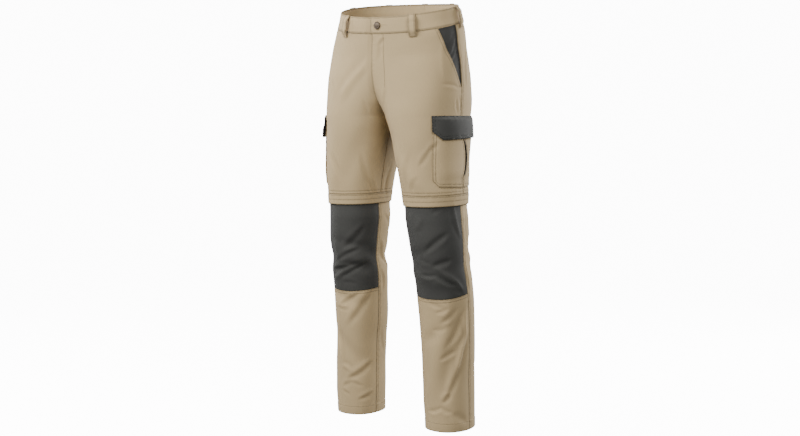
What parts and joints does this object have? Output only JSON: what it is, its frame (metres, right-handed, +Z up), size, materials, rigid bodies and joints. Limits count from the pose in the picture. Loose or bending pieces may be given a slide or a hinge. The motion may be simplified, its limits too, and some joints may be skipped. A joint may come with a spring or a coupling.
{
  "type": "convertible zip-off trousers",
  "caption": "Hollow worn-shape outdoor trousers with zip-off lower legs, contrast knee panels, flapped cargo pockets and belt loops",
  "frame": {"origin": "Centre of the waist, halfway up the waistband at the sides, where the wearer's body holds the trousers up", "axes": "+Z runs up the body and is the longest way; the front faces -Y and the wearer's left side is +X"},
  "size_m": [0.4213, 0.2433, 1.0517],
  "materials": {
    "tan_canvas": "matte",
    "grey_canvas": "matte",
    "zip_tape": "matte",
    "button_metal": "antique satin"
  },
  "bodies": {
    "root": {"front_left": "tan_canvas", "front_right": "tan_canvas", "back_left": "tan_canvas", "back_right": "tan_canvas", "waistband_left": "tan_canvas", "waistband_right": "tan_canvas", "belt_loop_front_left": "tan_canvas", "belt_loop_front_right": "tan_canvas", "belt_loop_side_left": "tan_canvas", "belt_loop_side_right": "tan_canvas", "belt_loop_back_left": "tan_canvas", "belt_loop_back_right": "tan_canvas", "belt_loop_centre_back": "tan_canvas", "button": "button_metal", "pocket_facing_left": "grey_canvas", "pocket_facing_right": "grey_canvas", "cargo_pocket_front_left": "tan_canvas", "cargo_pocket_rear_left": "tan_canvas", "cargo_pocket_front_right": "tan_canvas", "cargo_pocket_rear_right": "tan_canvas", "cargo_flap_left": "grey_canvas", "cargo_flap_right": "grey_canvas", "storm_flap_left": "tan_canvas", "storm_flap_right": "tan_canvas", "zip_left": "zip_tape", "zip_right": "zip_tape", "knee_panel_left": "grey_canvas", "knee_panel_right": "grey_canvas", "shin_panel_left": "tan_canvas", "shin_panel_right": "tan_canvas", "calf_panel_left": "tan_canvas", "calf_panel_right": "tan_canvas"}
  },
  "joints": []
}
